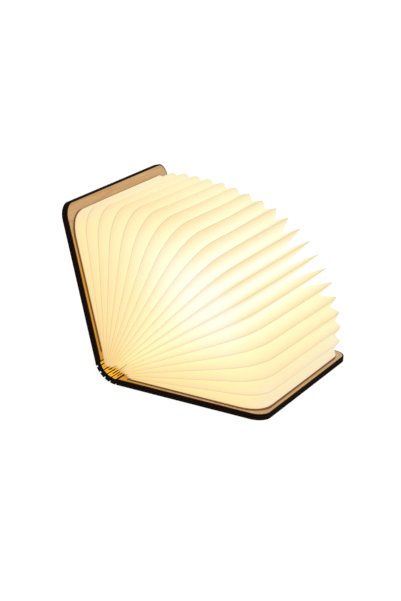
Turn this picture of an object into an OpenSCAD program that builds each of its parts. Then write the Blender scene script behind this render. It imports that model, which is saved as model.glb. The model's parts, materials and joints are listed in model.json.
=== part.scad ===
// Folding book lamp: two wooden covers on a kerf-cut spine, a fan of page leaves, a light bar inside.
// Every piece is laid out in the closed book and then carried to the opening by its spine frame.
// Closed-book layout: X runs from the spine to the fore-edge, Y along the spine from head to tail,
// Z up from the underside. The finished part stands on its bottom cover, with the origin under it.

/* [Book] */
// Height of the covers, head to tail, along Y
cover_h = 215; // [160:1:260]
// Width of the closed book, spine to fore-edge
closed_w = 170; // [130:1:200]
// Thickness of the closed book over both covers
closed_t = 25; // [23:0.5:32]
// Thickness of the wooden board
board_t = 6; // [4:0.1:7]
// Radius of the covers' corners at the fore-edge
corner_r = 15; // [6:0.5:30]
// Angle between the covers as the lamp stands
open_angle = 108.6; // [70:0.1:150]

/* [Spine] */
// Width of each kerf slot cut through the board
kerf_w = 1.1; // [1.1:0.05:1.4]
// Width of a web that bridges a slot
web_w = 0.5; // [0.3:0.05:0.6]
// Height of a web, through the middle of the board
web_h = 2.4; // [1:0.1:2.6]
// Length of a web along the spine
web_l = 7; // [4:0.5:10]
// Webs to a row that leaves its end slots open
web_count = 5; // [3:2:7]
// Thickness of the lining strip that backs the webs of a slot
lining_t = 0.4; // [0.2:0.1:0.8]

/* [Pages] */
// Bare border of cover round the pages at the fore-edge, head and tail
page_margin = 5; // [3:0.5:12]
// How much further the middle leaves reach than the outer ones
page_swell = 4; // [0:0.5:4.5]
// How much shorter the leaves get towards the top cover
page_pull = 6; // [0:0.5:10]
// Depth of a leaf's band, from its outer edge to the hollow inside
page_band = 25; // [18:0.5:32]
// Radius of a leaf's outer corners
page_r = 22; // [12:0.5:30]
// Radius of a leaf's inner corners
band_r = 5; // [2:0.5:10]
// Thickness of one leaf, two bonded sheets
sheet_t = 0.25; // [0.1:0.01:0.3]
// Distance from the board's spine end to where the leaves lie flat
page_root = 8; // [7:0.5:14]
// Width of a leaf's glued root tab
tab_w = 14.5; // [8:0.5:18]
// Thickness of the liner between cover and pages
liner_t = 0.6; // [0.4:0.1:0.8]

/* [Magnets] */
// Diameter of a closing magnet
magnet_d = 8; // [5:0.5:10]
// Thickness of a closing magnet
magnet_t = 2; // [1:0.1:3]
// Distance of a closing magnet's centre from the board's edges
magnet_inset = 19; // [17:0.5:30]
// Diameter of the magnet that tells the lamp it is closed
sensor_magnet_d = 5; // [3:0.5:6]

/* [Light bar] */
// Length of the light bar along the spine
bar_l = 148; // [110:1:150]
// Width of the light bar, across the closed book's thickness
bar_w = 9.6; // [9:0.1:10]
// Depth of the light bar's housing and cover together
bar_d = 18.6; // [18:0.1:24]
// Wall of the housing and the cover
bar_wall = 1.1; // [0.8:0.1:1.2]
// Height of the rib that stands the light bar on the middle slat
rib_h = 2.9; // [2.7:0.1:3.4]
// Thickness of the circuit boards
circuit_t = 1; // [0.6:0.1:1.2]
// Length of the control board
control_l = 45; // [34:1:50]
// Height of the posts that carry the control board
post_h = 4; // [3:0.1:5]
// Diameter of those posts
post_d = 4; // [3:0.1:4.5]
// Diameter of the small screws' thread
screw_d = 1.5; // [1:0.1:2]
// Length of the small screws' thread below the board
screw_l = 2.4; // [1.5:0.1:2.6]
// Length of the battery cell
cell_l = 50; // [30:1:56]
// Thickness of the battery cell
cell_t = 6; // [4:0.1:6.4]
// Depth of the battery cell, off the housing floor
cell_d = 8.6; // [7:0.1:8.8]
// Number of LEDs on the LED board
led_count = 14; // [8:1:18]
// Length of one LED along the bar
led_l = 3.5; // [2:0.1:5]
// Width of one LED across the bar
led_w = 2.8; // [1.5:0.1:4]
// Height of one LED
led_h = 0.7; // [0.4:0.1:1.2]

/* [Charging socket] */
// Width of the charging socket
socket_w = 8.9; // [7:0.1:9]
// Height of the charging socket
socket_h = 3.2; // [2.4:0.1:3.3]
// Length of the charging socket
socket_l = 7.3; // [5:0.1:8]
// Wall of the charging socket's shell
socket_wall = 0.35; // [0.2:0.05:0.4]
// Wall of the cradle round the charging socket
cradle_wall = 0.6; // [0.4:0.1:0.8]

/* [Hidden] */
kerf_rows = 10;
gaps = 2 * kerf_rows;
leaf_count = gaps - 1;
$fn = 64;
seat = 0.3;
fit = 0.1;

closed_bend = 180;
open_bend = 180 - open_angle;
spine_r = (closed_t - board_t) / 2;
inner_r = spine_r - board_t / 2;
slat_pitch = 2 * spine_r * tan(closed_bend / kerf_rows / 2);
slat_w = slat_pitch - kerf_w;
board_w = closed_w - closed_t / 2;
mid_z = closed_t / 2;
page_y = cover_h / 2 - page_margin;
middle = kerf_rows;

leaf_low = board_t + liner_t + sheet_t / 2;
leaf_high = closed_t - leaf_low;

bar_back = -inner_r + rib_h;
bar_front = bar_back + bar_d;
led_back = bar_back + bar_wall + cell_d + 4 * fit;
led_pitch = (bar_l - 2 * led_l) / led_count;
board_back = bar_back + bar_wall + post_h;
parts_shift = 6;
parts_gap = 3;
board_y = parts_shift - (control_l + cell_l) / 2;
cell_y = board_y + (control_l + cell_l) / 2 + parts_gap;
screw_head_d = 2 * screw_d;
screw_head_h = 0.6 * screw_d;
socket_inset = 0.8;
socket_floor = 1;
tongue_clear = 0.5;
socket_y = cover_h / 2 - socket_inset - socket_l;
socket_back = bar_back + cradle_wall;
sensor_x = 11;
sensor_from_board = 12;
sensor_y = board_y - sensor_from_board;
sensor_size = 3;
sensor_t = 1.1;
flex_t = 0.15;

function two(n) = n < 10 ? str("0", n) : str(n);
slat_names = [for (k = [1 : kerf_rows - 1]) str("spine_slat_", two(k))];
web_names = [for (k = [1 : kerf_rows]) str("spine_web_", two(k))];
leaf_names = [for (k = [1 : leaf_count]) str("page_leaf_", two(k))];

wood_colour = "#C79A66";
char_colour = "#1E1410";
liner_colour = "#5A3420";
paper_colour = "#FFF3D0";
steel_colour = "#C9CCD0";
white_colour = "#F4F4F0";
circuit_colour = "#2F6B45";

// ---- spine frames ------------------------------------------------------------------------------
// Frame i sits on the middle of slat i/2 when i is even and on the kerf row's axis when i is odd.
// Frame 0 is the bottom board's spine end and the last frame is the top board's.

function frame_turn(i, bend) = i * bend / gaps;
function slat_of(i) = i % 2 == 0 ? i : i - 1;
function frame_pos(i, bend) = i == 0
    ? [0, board_t / 2]
    : frame_pos(i - 1, bend) + slat_pitch / 2 * along(frame_turn(slat_of(i), bend));
function along(turn) = [-cos(turn), sin(turn)];
function inward(turn) = [sin(turn), cos(turn)];

// Moves what was laid out in the closed book with frame i to the opening.
module carried(i) {
    from = frame_pos(i, closed_bend);
    to = frame_pos(i, open_bend);
    lift = frame_turn(i, closed_bend) - frame_turn(i, open_bend);
    translate([to[0] - board_w / 2, 0, to[1]])
        rotate([0, -lift, 0])
            translate([-from[0], 0, -from[1]])
                children();
}

// Draws in a spine frame of the closed book: X inward, Y along the spine, Z along the strip.
module on_frame(i) {
    at = frame_pos(i, closed_bend);
    translate([at[0], 0, at[1]])
        rotate([0, frame_turn(i, closed_bend) - 90, 0])
            children();
}

// ---- outlines ----------------------------------------------------------------------------------

// A plate outline from x0 to x1 that is round at its two fore-edge corners.
module fore_outline(x0, x1, half_y, r) {
    translate([x0, -half_y])
        square([x1 - x0 - r, 2 * half_y]);
    translate([x0, -half_y + r])
        square([x1 - x0, 2 * (half_y - r)]);
    for (side = [-1, 1])
        translate([x1 - r, side * (half_y - r)])
            circle(r);
}

// The same outline with a hollow that is open to the spine, as a leaf has.
module band_outline(x0, x1, half_y) {
    difference() {
        fore_outline(x0, x1, half_y, page_r);
        fore_outline(x0 - 1, x1 - page_band, half_y - page_band, band_r);
    }
}

module box(low, high) {
    translate(low)
        cube(high - low);
}

// ---- covers ------------------------------------------------------------------------------------

function magnet_places() = [for (side = [-1, 1])
    [board_w - magnet_inset, side * (cover_h / 2 - magnet_inset)]];

// A board with blind magnet pockets in its inner face, laid with that face up at Z = board_t.
module cover_board() {
    difference() {
        linear_extrude(board_t)
            fore_outline(-slat_w / 2, board_w, cover_h / 2, corner_r);
        for (at = magnet_places())
            translate([at[0], at[1], board_t - magnet_t - fit])
                cylinder(d = magnet_d + 2 * fit, h = magnet_t + 1);
    }
}

// Turns a piece of the bottom cover over onto the top cover of the closed book.
module turned_over() {
    translate([0, 0, closed_t])
        mirror([0, 0, 1])
            children();
}

module closing_magnets() {
    for (at = magnet_places())
        translate([at[0], at[1], board_t - magnet_t])
            cylinder(d = magnet_d, h = magnet_t);
}

module liner(reach) {
    translate([0, 0, board_t])
        linear_extrude(liner_t)
            fore_outline(page_root, reach, page_y, page_r);
}

module endpaper(reach) {
    translate([0, 0, board_t + liner_t])
        linear_extrude(sheet_t)
            band_outline(page_root, reach, page_y);
}

module bottom_cover() {
    color(wood_colour)
        carried(0)
            cover_board();
}

module top_cover() {
    color(wood_colour)
        carried(gaps)
            difference() {
                turned_over()
                    cover_board();
                translate([sensor_x, sensor_y, closed_t - board_t - 1])
                    cylinder(d = sensor_magnet_d + 2 * fit, h = magnet_t + fit + 1);
            }
}

module bottom_liner() {
    color(liner_colour)
        carried(0)
            liner(leaf_reach(0));
}

module top_liner() {
    color(liner_colour)
        carried(gaps)
            turned_over()
                liner(leaf_reach(gaps));
}

module bottom_endpaper() {
    color(paper_colour)
        carried(0)
            endpaper(leaf_reach(0));
}

module top_endpaper() {
    color(paper_colour)
        carried(gaps)
            turned_over()
                endpaper(leaf_reach(gaps));
}

module bottom_magnets() {
    color(steel_colour)
        carried(0)
            closing_magnets();
}

module top_magnets() {
    color(steel_colour)
        carried(gaps)
            turned_over()
                closing_magnets();
}

module sensor_magnet() {
    color(steel_colour)
        carried(gaps)
            translate([sensor_x, sensor_y, closed_t - board_t])
                cylinder(d = sensor_magnet_d, h = magnet_t);
}

// ---- kerf-cut spine ----------------------------------------------------------------------------

// A slat between two kerf rows, as long as the covers.
module spine_slat(k) {
    color(char_colour)
        carried(2 * k)
            on_frame(2 * k)
                box([-board_t / 2, -cover_h / 2, -slat_w / 2], [board_t / 2, cover_h / 2, slat_w / 2]);
}

// Odd rows leave their end slots open; even rows are bridged at head and tail.
function web_places(k) = k % 2 == 1
    ? [for (n = [0 : web_count - 1]) (n - (web_count - 1) / 2) * cover_h / web_count]
    : [for (n = [0 : web_count])
        min(max((n - web_count / 2) * cover_h / web_count, (web_l - cover_h) / 2), (cover_h - web_l) / 2)];

// The webs that bridge kerf row k and twist as it bends, on the strip that lines the slot.
module spine_web(k) {
    color(char_colour)
        carried(2 * k - 1)
            on_frame(2 * k - 1) {
                for (y = web_places(k))
                    box([-web_h / 2, y - web_l / 2, -web_w / 2], [web_h / 2, y + web_l / 2, web_w / 2]);
                box([-web_h / 2, -cover_h / 2, -web_w / 2], [lining_t - web_h / 2, cover_h / 2, web_w / 2]);
            }
}

// ---- pages -------------------------------------------------------------------------------------

function leaf_share(i) = i / gaps;
function leaf_z(i) = leaf_low + (leaf_high - leaf_low) * leaf_share(i);
function leaf_reach(i) = board_w - page_margin + page_swell * sin(180 * leaf_share(i))
    - page_pull * pow(leaf_share(i), 4);
function leaf_foot(i) = frame_pos(i, closed_bend)
    + (board_t / 2 + seat) * inward(frame_turn(i, closed_bend));

// The sloping tab that ties a leaf's arm to its own place on the spine.
module root_tab(i) {
    foot = leaf_foot(i);
    z = leaf_z(i);
    rotate([90, 0, 0])
        linear_extrude(tab_w, center = true)
            polygon([
                [foot[0], foot[1]],
                [page_root, z - sheet_t / 2],
                [page_root, z + sheet_t / 2],
                [foot[0], foot[1] + sheet_t]
            ]);
}

// One leaf: a band round the head, fore-edge and tail, open to the spine, on two root tabs.
module page_leaf(i) {
    color(paper_colour)
        carried(i) {
            translate([0, 0, leaf_z(i) - sheet_t / 2])
                linear_extrude(sheet_t)
                    band_outline(page_root, leaf_reach(i), page_y);
            for (side = [-1, 1])
                translate([0, side * (page_y - page_band + tab_w / 2), 0])
                    root_tab(i);
        }
}

// ---- light bar, on the middle slat -------------------------------------------------------------

// A block laid out in the closed book about the mid plane: X range, Y range, half-width in Z.
module bar_block(x0, x1, y0, y1, half_z) {
    box([x0, y0, mid_z - half_z], [x1, y1, mid_z + half_z]);
}

// Housing: floor, low side walls, end walls that carry the LED board, bosses and the seating rib.
module light_base() {
    color(white_colour)
        carried(middle)
            difference() {
                union() {
                    difference() {
                        bar_block(bar_back, led_back, -bar_l / 2, bar_l / 2, bar_w / 2);
                        bar_block(bar_back + bar_wall, led_back + 1,
                            -bar_l / 2 + 2 * bar_wall, bar_l / 2 - 2 * bar_wall, bar_w / 2 - bar_wall);
                    }
                    bar_block(-inner_r, bar_back + fit, -bar_l / 2, bar_l / 2, slat_w / 2);
                    for (y = screw_places())
                        screw_axis(board_back, y)
                            translate([0, 0, -post_h - bar_wall / 2])
                                cylinder(d = post_d, h = post_h + bar_wall / 2);
                }
                for (y = screw_places())
                    screw_axis(board_back, y)
                        translate([0, 0, -screw_l - fit])
                            cylinder(d = screw_d + fit, h = screw_l + 1);
            }
}

// Diffuser cap over the LEDs, closed at the front and both ends.
module light_cover() {
    color("#FFFFFF", 0.6)
        carried(middle)
            difference() {
                bar_block(led_back + circuit_t + fit, bar_front, -bar_l / 2, bar_l / 2, bar_w / 2);
                bar_block(led_back, bar_front - bar_wall,
                    -bar_l / 2 + bar_wall, bar_l / 2 - bar_wall, bar_w / 2 - bar_wall);
            }
}

module battery_cell() {
    color("#9AA3AE")
        carried(middle)
            bar_block(bar_back + bar_wall, bar_back + bar_wall + cell_d,
                cell_y - cell_l / 2, cell_y + cell_l / 2, cell_t / 2);
}

function screw_places() = [for (side = [-1, 1]) board_y + side * (control_l / 2 - post_d)];

// Draws on a small screw's axis, with Z pointing away from the spine.
module screw_axis(x, y) {
    translate([x, y, mid_z])
        rotate([0, 90, 0])
            children();
}

module control_board() {
    color(circuit_colour)
        carried(middle)
            difference() {
                bar_block(board_back, board_back + circuit_t,
                    board_y - control_l / 2, board_y + control_l / 2, bar_w / 2 - bar_wall - 2 * fit);
                for (y = screw_places())
                    screw_axis(board_back - 1, y)
                        cylinder(d = screw_d + 3 * fit, h = circuit_t + 2);
            }
}

module hall_sensor() {
    color("#202020")
        carried(middle)
            bar_block(board_back + circuit_t, board_back + circuit_t + sensor_t,
                sensor_y - sensor_size / 2, sensor_y + sensor_size / 2, sensor_size / 2);
}

module board_screws() {
    color(steel_colour)
        carried(middle)
            for (y = screw_places())
                screw_axis(board_back, y) {
                    translate([0, 0, circuit_t])
                        cylinder(d = screw_head_d, h = screw_head_h);
                    translate([0, 0, -screw_l])
                        cylinder(d = screw_d, h = screw_l + circuit_t + screw_head_h / 2);
                }
}

module led_board() {
    color(white_colour)
        carried(middle)
            bar_block(led_back, led_back + circuit_t, -bar_l / 2, bar_l / 2, bar_w / 2);
}

module led_chips() {
    color("#FFE27A")
        carried(middle)
            for (n = [0 : led_count - 1]) {
                y = (n - (led_count - 1) / 2) * led_pitch;
                bar_block(led_back + circuit_t, led_back + circuit_t + led_h,
                    y - led_l / 2, y + led_l / 2, led_w / 2);
            }
}

// ---- charging socket, at the tail end of the middle slat ----------------------------------------

// A flat oval tube, open at the tail, with a tongue inside.
module charge_socket() {
    tongue_t = socket_h / 5;
    color(steel_colour)
        carried(middle)
            translate([socket_back, socket_y, mid_z]) {
                difference() {
                    socket_slab(socket_h, socket_w, socket_l);
                    translate([socket_wall, socket_floor, 0])
                        socket_slab(socket_h - 2 * socket_wall, socket_w - 2 * socket_wall, socket_l);
                }
                box([(socket_h - tongue_t) / 2, tongue_clear, (socket_h - socket_w) / 2],
                    [(socket_h + tongue_t) / 2, socket_l - 2 * tongue_clear, (socket_w - socket_h) / 2]);
            }
}

// A slab with round edges: height along X, length along Y, width along Z.
module socket_slab(h, w, l) {
    translate([h / 2, 0, 0])
        rotate([-90, 0, 0])
            linear_extrude(l) {
                square([h, w - h], center = true);
                for (side = [-1, 1])
                    translate([0, side * (w - h) / 2])
                        circle(d = h);
            }
}

// Cradle that holds the socket on the middle slat.
module socket_housing() {
    color(white_colour)
        carried(middle)
            difference() {
                union() {
                    bar_block(bar_back, socket_back + socket_h + cradle_wall,
                        socket_y - socket_floor, socket_y + socket_l, (socket_w + cradle_wall) / 2);
                    bar_block(-inner_r, bar_back + fit,
                        socket_y - socket_floor, socket_y + socket_l, slat_w / 2);
                }
                translate([socket_back - fit / 2, socket_y - fit / 2, mid_z])
                    socket_slab(socket_h + fit, socket_w + fit, socket_l + 1);
            }
}

// Flat lead on the slat, from the light bar's rib to the socket's cradle.
module supply_flex() {
    color("#C77B2A")
        carried(middle)
            bar_block(-inner_r, -inner_r + flex_t, bar_l / 2, socket_y - socket_floor, slat_w / 2 - flex_t);
}

// ---- nodes -------------------------------------------------------------------------------------

bottom_cover();
top_cover();
bottom_liner();
top_liner();
bottom_endpaper();
top_endpaper();
for (k = [1 : kerf_rows - 1])
    spine_slat(k);
for (k = [1 : kerf_rows])
    spine_web(k);
for (k = [1 : leaf_count])
    page_leaf(k);
bottom_magnets();
top_magnets();
sensor_magnet();
light_base();
light_cover();
battery_cell();
control_board();
hall_sensor();
board_screws();
led_board();
led_chips();
charge_socket();
socket_housing();
supply_flex();
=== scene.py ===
"""Folding book lamp: charred wooden covers on a living hinge, and glowing page pleats."""

import json
import math

import bmesh
import bpy
from bpy.props import FloatProperty, FloatVectorProperty, IntProperty, PointerProperty
from mathutils import Matrix, Vector


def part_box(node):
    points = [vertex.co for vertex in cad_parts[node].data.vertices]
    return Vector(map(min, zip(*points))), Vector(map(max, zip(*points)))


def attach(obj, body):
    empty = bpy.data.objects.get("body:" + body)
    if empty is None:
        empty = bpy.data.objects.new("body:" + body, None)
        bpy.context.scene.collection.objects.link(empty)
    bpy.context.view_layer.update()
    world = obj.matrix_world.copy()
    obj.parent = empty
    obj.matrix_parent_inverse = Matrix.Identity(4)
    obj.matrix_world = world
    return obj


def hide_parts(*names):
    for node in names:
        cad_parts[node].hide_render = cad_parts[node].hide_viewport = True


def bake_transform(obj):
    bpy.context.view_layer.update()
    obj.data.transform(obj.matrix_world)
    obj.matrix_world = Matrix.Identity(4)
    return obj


bl_info = {
    "name": "Folding Book Lamp",
    "version": (1, 0, 0),
    "blender": (4, 5, 0),
    "location": "View3D > Sidebar > Book Lamp",
    "description": "Dresses a folding book lamp: covers, living hinge, page pleats and light bar",
    "category": "Object",
}

MM = 0.001
MATH, VECTOR_MATH, OUTPUT = "ShaderNodeMath", "ShaderNodeVectorMath", "ShaderNodeOutputMaterial"
# A colour mix takes its factor at input 0 and its colours at 6 and 7, and gives the mix at output 2.
MIX = "ShaderNodeMix"

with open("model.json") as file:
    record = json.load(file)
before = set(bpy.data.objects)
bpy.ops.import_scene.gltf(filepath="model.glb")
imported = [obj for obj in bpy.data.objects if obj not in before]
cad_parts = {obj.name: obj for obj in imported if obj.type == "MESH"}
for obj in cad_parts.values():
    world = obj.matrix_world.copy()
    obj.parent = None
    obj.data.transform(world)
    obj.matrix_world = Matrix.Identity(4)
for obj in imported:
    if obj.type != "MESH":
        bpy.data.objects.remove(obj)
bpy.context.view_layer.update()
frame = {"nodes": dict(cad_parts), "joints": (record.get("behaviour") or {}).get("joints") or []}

# ---- the book's layout, read from the frame -----------------------------------------------------
# Pieces are laid out in the closed book, X from the spine to the fore-edge and Z up from the
# bottom cover's underside, and then carried to the opening by their own place on the spine.

GAPS = len(frame["joints"])
ROWS = GAPS // 2
KERF_AXES = [Vector(joint["pos_m"]) for joint in frame["joints"][::2]]
PITCH = (KERF_AXES[1] - KERF_AXES[0]).length
OPEN_BEND = math.pi + math.radians(frame["joints"][0]["range_deg"][0] * GAPS)

BOARD_LOW, BOARD_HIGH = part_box("bottom_cover")
BOARD_T = BOARD_HIGH.z - BOARD_LOW.z
BOARD_W = 2 * BOARD_HIGH.x
COVER_H = BOARD_HIGH.y - BOARD_LOW.y
SLAT_W = 2 * (-BOARD_W / 2 - BOARD_LOW.x)
SPINE_R = PITCH / (2 * math.tan(math.pi / ROWS / 2))
CLOSED_T = BOARD_T + 2 * SPINE_R
PAPER_LOW, PAPER_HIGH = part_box("bottom_endpaper")
PAGE_Y = PAPER_HIGH.y
SHEET_T = PAPER_HIGH.z - PAPER_LOW.z


def spine_place(step, bend):
    """Where step number `step` of the spine lies, and how far the spine has turned there."""
    x, z = 0.0, BOARD_T / 2
    for n in range(1, step + 1):
        slat = n if n % 2 == 0 else n - 1
        turn = slat * bend / GAPS
        x -= PITCH / 2 * math.cos(turn)
        z += PITCH / 2 * math.sin(turn)
    return Vector((x, 0, z)), step * bend / GAPS


def carried(step):
    """The matrix that takes the closed book's layout to where that step of the spine stands open."""
    closed, closed_turn = spine_place(step, math.pi)
    opened, open_turn = spine_place(step, OPEN_BEND)
    shift = Matrix.Translation(opened - Vector((BOARD_W / 2, 0, 0)))
    lift = Matrix.Rotation(open_turn - closed_turn, 4, "Y")
    return shift @ lift @ Matrix.Translation(-closed)


def on_spine(step):
    """The matrix of a step of the open spine: X inward through the board, Z along the strip."""
    opened, turn = spine_place(step, OPEN_BEND)
    shift = Matrix.Translation(opened - Vector((BOARD_W / 2, 0, 0)))
    return shift @ Matrix.Rotation(turn - math.pi / 2, 4, "Y")


def body_name(step):
    """The CAD body that rides at that step of the spine."""
    if step == 0:
        return "bottom_cover"
    if step == GAPS:
        return "top_cover"
    kind = "web" if step % 2 else "slat"
    return f"{kind}_{(step + 1) // 2:02d}"


def leaf_node(step):
    """The CAD node of that step's leaf: the endpapers are the first and last."""
    return {0: "bottom_endpaper", GAPS: "top_endpaper"}.get(step, f"page_leaf_{step:02d}")


def leaf_reach(step):
    """How far from the spine that leaf's fore-edge lies, read from its CAD node."""
    back = carried(step).inverted()
    return max((back @ v.co).x for v in frame["nodes"][leaf_node(step)].data.vertices)


LEAF_LOW = PAPER_LOW.z + SHEET_T / 2


def leaf_z(step):
    """The height at which that leaf lies in the closed book."""
    return LEAF_LOW + (CLOSED_T - 2 * LEAF_LOW) * step / GAPS


# ---- sizes and colours --------------------------------------------------------------------------


def hex_rgb(text):
    """A linear colour from an sRGB hex value."""
    parts = [int(text[i : i + 2], 16) / 255 for i in (1, 3, 5)]
    return [p / 12.92 if p <= 0.04045 else ((p + 0.055) / 1.055) ** 2.4 for p in parts]


def size(name, description, default, low, high):
    """A length property in metres."""
    return FloatProperty(
        name=name,
        description=description,
        default=default,
        min=low,
        max=high,
        subtype="DISTANCE",
        unit="LENGTH",
    )


def tint(name, description, text):
    """A colour property."""
    return FloatVectorProperty(
        name=name,
        description=description,
        default=hex_rgb(text),
        size=3,
        min=0,
        max=1,
        subtype="COLOR",
    )


class BOOKLAMP_PG_covers(bpy.types.PropertyGroup):
    edge_chamfer: size("Edge chamfer", "Chamfer round each board", 0.3 * MM, 0.1 * MM, 1 * MM)
    char_w: size("Charred rim", "Width of the burnt rim on a board's faces", 0.9 * MM, 0.2 * MM, 3 * MM)
    brown_w: size("Browned rim", "Width over which the burnt rim fades", 0.5 * MM, 0.2 * MM, 3 * MM)
    veneer: tint("Veneer", "Wood of the cover faces", "#DDB583")
    veneer_dark: tint("Veneer grain", "Darker grain of the cover faces", "#BC9160")
    char: tint("Char", "Laser-charred edges", "#070403")
    ply: tint("Ply line", "Brown glue lines in the charred edges", "#4A3020")
    lit: tint("Lit veneer", "Veneer that the pages' light reaches", "#E0A00C")
    lit_end: size("Lit length", "How far from the spine the top veneer is lit", 120 * MM, 0, 160 * MM)
    lit_low: size("Low lit length", "The same on the bottom cover", 40 * MM, 0, 160 * MM)
    # The same dark colour is painted on the endpapers as shade, in the band that the sheet's outer folds
    # leave bare.
    card: tint("Liner", "Edge of the dark liner under the pages", "#7E5228")


class BOOKLAMP_PG_spine(bpy.types.PropertyGroup):
    web_l: size("Web length", "Length of a bridge along the spine", 7 * MM, 4 * MM, 10 * MM)
    web_count: IntProperty(
        name="Webs", description="Bridges in an open-ended kerf row", default=5, min=3, max=7
    )
    # The sheet across the slots is painted shade: a dark sheet put where the open slots would show only
    # shadow.
    shade_lining_t: size("Lining", "Thickness of the lining across the slots", 0.4 * MM, 0.2 * MM, 1 * MM)
    shade_lining_x: size("Lining depth", "Depth of the lining below mid-board", 1.0 * MM, 0, 2 * MM)
    lit_wood: tint("Lit wood", "Inner face of the slats by the lamplight", "#FFC53B")
    lit_wood_dark: tint("Lit wood grain", "Darker grain of the lit slats", "#E39A1C")
    # Colour of that dark sheet of painted shade.
    cloth: tint("Lining cloth", "Dark cloth that closes the slots to daylight", "#120C0A")


class BOOKLAMP_PG_pages(bpy.types.PropertyGroup):
    fold_d: size("Fold depth", "From a ridge to the valley beside it", 27 * MM, 18 * MM, 32 * MM)
    fold_tail: size(
        "Tail fold depth", "The same at the tail corners by the covers", 4.5 * MM, 2 * MM, 32 * MM
    )
    fold_mid: size(
        "Middle fold depth", "The same at the tail corners in the middle", 34 * MM, 18 * MM, 40 * MM
    )
    cover_r: size("Corner at covers", "Head corner of the outer folds", 26 * MM, 12 * MM, 30 * MM)
    head_r: size("Head corner", "Head corner of the middle folds", 46 * MM, 12 * MM, 60 * MM)
    tail_r: size("Tail corner", "Tail corner of the lower folds", 17 * MM, 8 * MM, 30 * MM)
    tail_up_r: size("Upper tail corner", "Tail corner of the upper folds", 28 * MM, 8 * MM, 45 * MM)
    tail_slip: size("Tail slip", "How far the upper folds slip in at the tail", 3.5 * MM, 0, 8 * MM)
    tail_out: size("Tail reach", "How far the lower folds stand out at the tail", 2.6 * MM, 0, 4 * MM)
    low_root: size("Low root", "Root of the pages by the bottom cover", 10.5 * MM, 8 * MM, 18 * MM)
    high_root: size("High root", "Root of the pages nearest the spine", -4.6 * MM, -5 * MM, 8 * MM)
    # That border is a band of painted shade: the dark endpaper left bare outside the sheet's outer folds.
    painted_shade_band: size("Card border", "Bare card outside the sheet's ends", 1.8 * MM, 0, 4 * MM)
    socket_root: size("Socket root", "Nearest root of the pages beside the socket", 2 * MM, 0, 6 * MM)
    tab_w: size("Tab width", "Width of a root tab", 14.5 * MM, 8 * MM, 18 * MM)
    waver: size("Waver", "How far a fold strays from its line", 0.4 * MM, 0, 1 * MM)
    hot: tint("Hottest paper", "Paper nearest the light", "#FCFCEA")
    bright: tint("Bright paper", "Paper beside the hottest", "#FCF6C6")
    warm: tint("Warm paper", "Paper the light reaches through several folds", "#FCEEAE")
    gold: tint("Golden paper", "Paper at the roots", "#FCE594")
    shade: tint("Shade", "What a flank keeps of the light beside its ridge", "#FBE3CF")
    pale: tint("Pale paper", "Paper at the outer corners, where daylight tells most", "#EFE3D8")
    ridge: tint("Ridge", "What the doubled paper along a ridge keeps of the light", "#DCCAB8")
    glow: FloatProperty(
        name="Glow", description="Strength of the light through the paper", default=0.66, min=0, max=2
    )
    white: FloatProperty(
        name="White", description="How much outside light the paper gives back", default=0.4, min=0, max=0.9
    )


class BOOKLAMP_PG_stage(bpy.types.PropertyGroup):
    lens: FloatProperty(
        name="Lens", description="Focal length for a 24 mm high sensor", default=74.36, min=20, max=200
    )
    eye: FloatVectorProperty(
        name="Eye",
        description="Where the camera stands",
        default=(0.68075, -1.6195, 0.664),
        size=3,
        subtype="TRANSLATION",
        unit="LENGTH",
    )
    heading: FloatProperty(
        name="Heading", description="Camera's turn to the left of +Y, in degrees", default=24.16
    )
    dip: FloatProperty(name="Dip", description="Camera's tilt below level, in degrees", default=18.63)
    roll: FloatProperty(name="Roll", description="Camera's roll, in degrees", default=4.89)
    backdrop: tint("Backdrop", "Floor and backdrop", "#FFFFFF")


# ---- helpers ------------------------------------------------------------------------------------


def clear_selection():
    """Leaves edit mode and deselects everything."""
    if bpy.context.object and bpy.context.object.mode != "OBJECT":
        bpy.ops.object.mode_set(mode="OBJECT")
    bpy.ops.object.select_all(action="DESELECT")


def activate(obj):
    """Selects one object alone and makes it active."""
    clear_selection()
    obj.select_set(True)
    bpy.context.view_layer.objects.active = obj


def sheet_grid(name, columns, rows, place):
    """A grid primitive whose points are laid by place(column, row), with its grid kept as its UV map."""
    clear_selection()
    bpy.ops.mesh.primitive_grid_add(x_subdivisions=columns, y_subdivisions=rows, size=1, calc_uvs=True)
    obj = bpy.context.object
    obj.name = name
    for v in obj.data.vertices:
        v.co = place(round((v.co.x + 0.5) * columns), round((v.co.y + 0.5) * rows))
    return obj


def apply_modifier(obj, kind, **settings):
    """Adds one modifier with its settings and applies it."""
    activate(obj)
    made = obj.modifiers.new(kind.lower(), kind)
    for key, value in settings.items():
        setattr(made, key, value)
    bpy.ops.object.modifier_apply(modifier=made.name)


def smooth(obj, degrees):
    """Smooth shading but for edges sharper than that angle."""
    activate(obj)
    bpy.ops.object.shade_smooth_by_angle(angle=math.radians(degrees))


def joined(objects, name):
    """Joins several objects into the first and names it."""
    activate(objects[0])
    for obj in objects:
        obj.select_set(True)
    bpy.ops.object.join()
    obj = bpy.context.object
    obj.name = name
    return obj


MERGE_GAP = 0.001 * MM
FLAT_DEGREES = 0.5


def clean_copy(node, name):
    """A copy of a CAD node's mesh, merged, with its flat faces made whole."""
    obj = frame["nodes"][node].copy()
    obj.data = obj.data.copy()
    obj.name = name
    obj.parent = None
    for key in list(obj.keys()):
        del obj[key]
    bpy.context.scene.collection.objects.link(obj)
    activate(obj)
    bpy.ops.object.mode_set(mode="EDIT")
    bpy.ops.mesh.select_all(action="SELECT")
    bpy.ops.mesh.remove_doubles(threshold=MERGE_GAP)
    bpy.ops.mesh.dissolve_limited(angle_limit=math.radians(FLAT_DEGREES))
    bpy.ops.object.mode_set(mode="OBJECT")
    return obj


def paint(obj, *materials):
    """Gives the object these materials in place of its own."""
    obj.data.materials.clear()
    for material in materials:
        obj.data.materials.append(material)


def new_material(name):
    """A material with an empty node tree, and that tree."""
    material = bpy.data.materials.new(name)
    material.use_nodes = True
    material.node_tree.nodes.clear()
    return material, material.node_tree


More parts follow.
